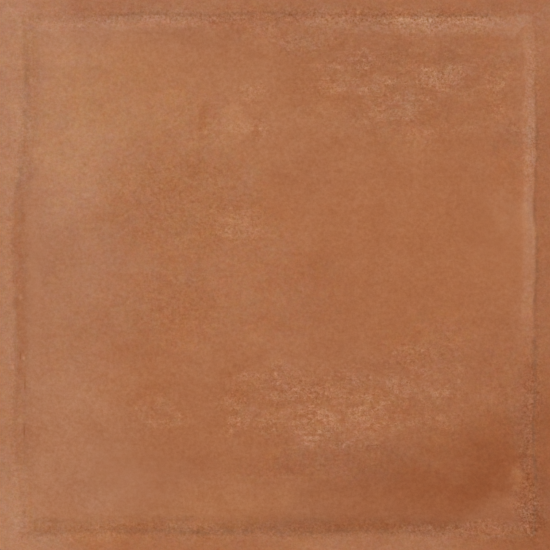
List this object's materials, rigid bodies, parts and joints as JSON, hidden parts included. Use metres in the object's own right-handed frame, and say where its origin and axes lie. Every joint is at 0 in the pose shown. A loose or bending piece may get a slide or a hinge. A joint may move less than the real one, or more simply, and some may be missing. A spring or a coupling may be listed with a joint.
{
  "type": "square floor tile",
  "caption": "Square fired-clay floor tile: a flat field raised slightly above a narrow rim, rounded arrises and a ribbed back that grips the bedding mortar",
  "frame": {"origin": "middle of the bedding plane, the plane of the ribs on the back", "axes": "+Z out of the face, +X to the right of the face, +Y to the top of the face; the tile lies on its back"},
  "size_m": [0.3, 0.3, 0.0095],
  "materials": {
    "fired_clay": "matte"
  },
  "bodies": {
    "root": {"tile": "fired_clay"}
  },
  "joints": []
}
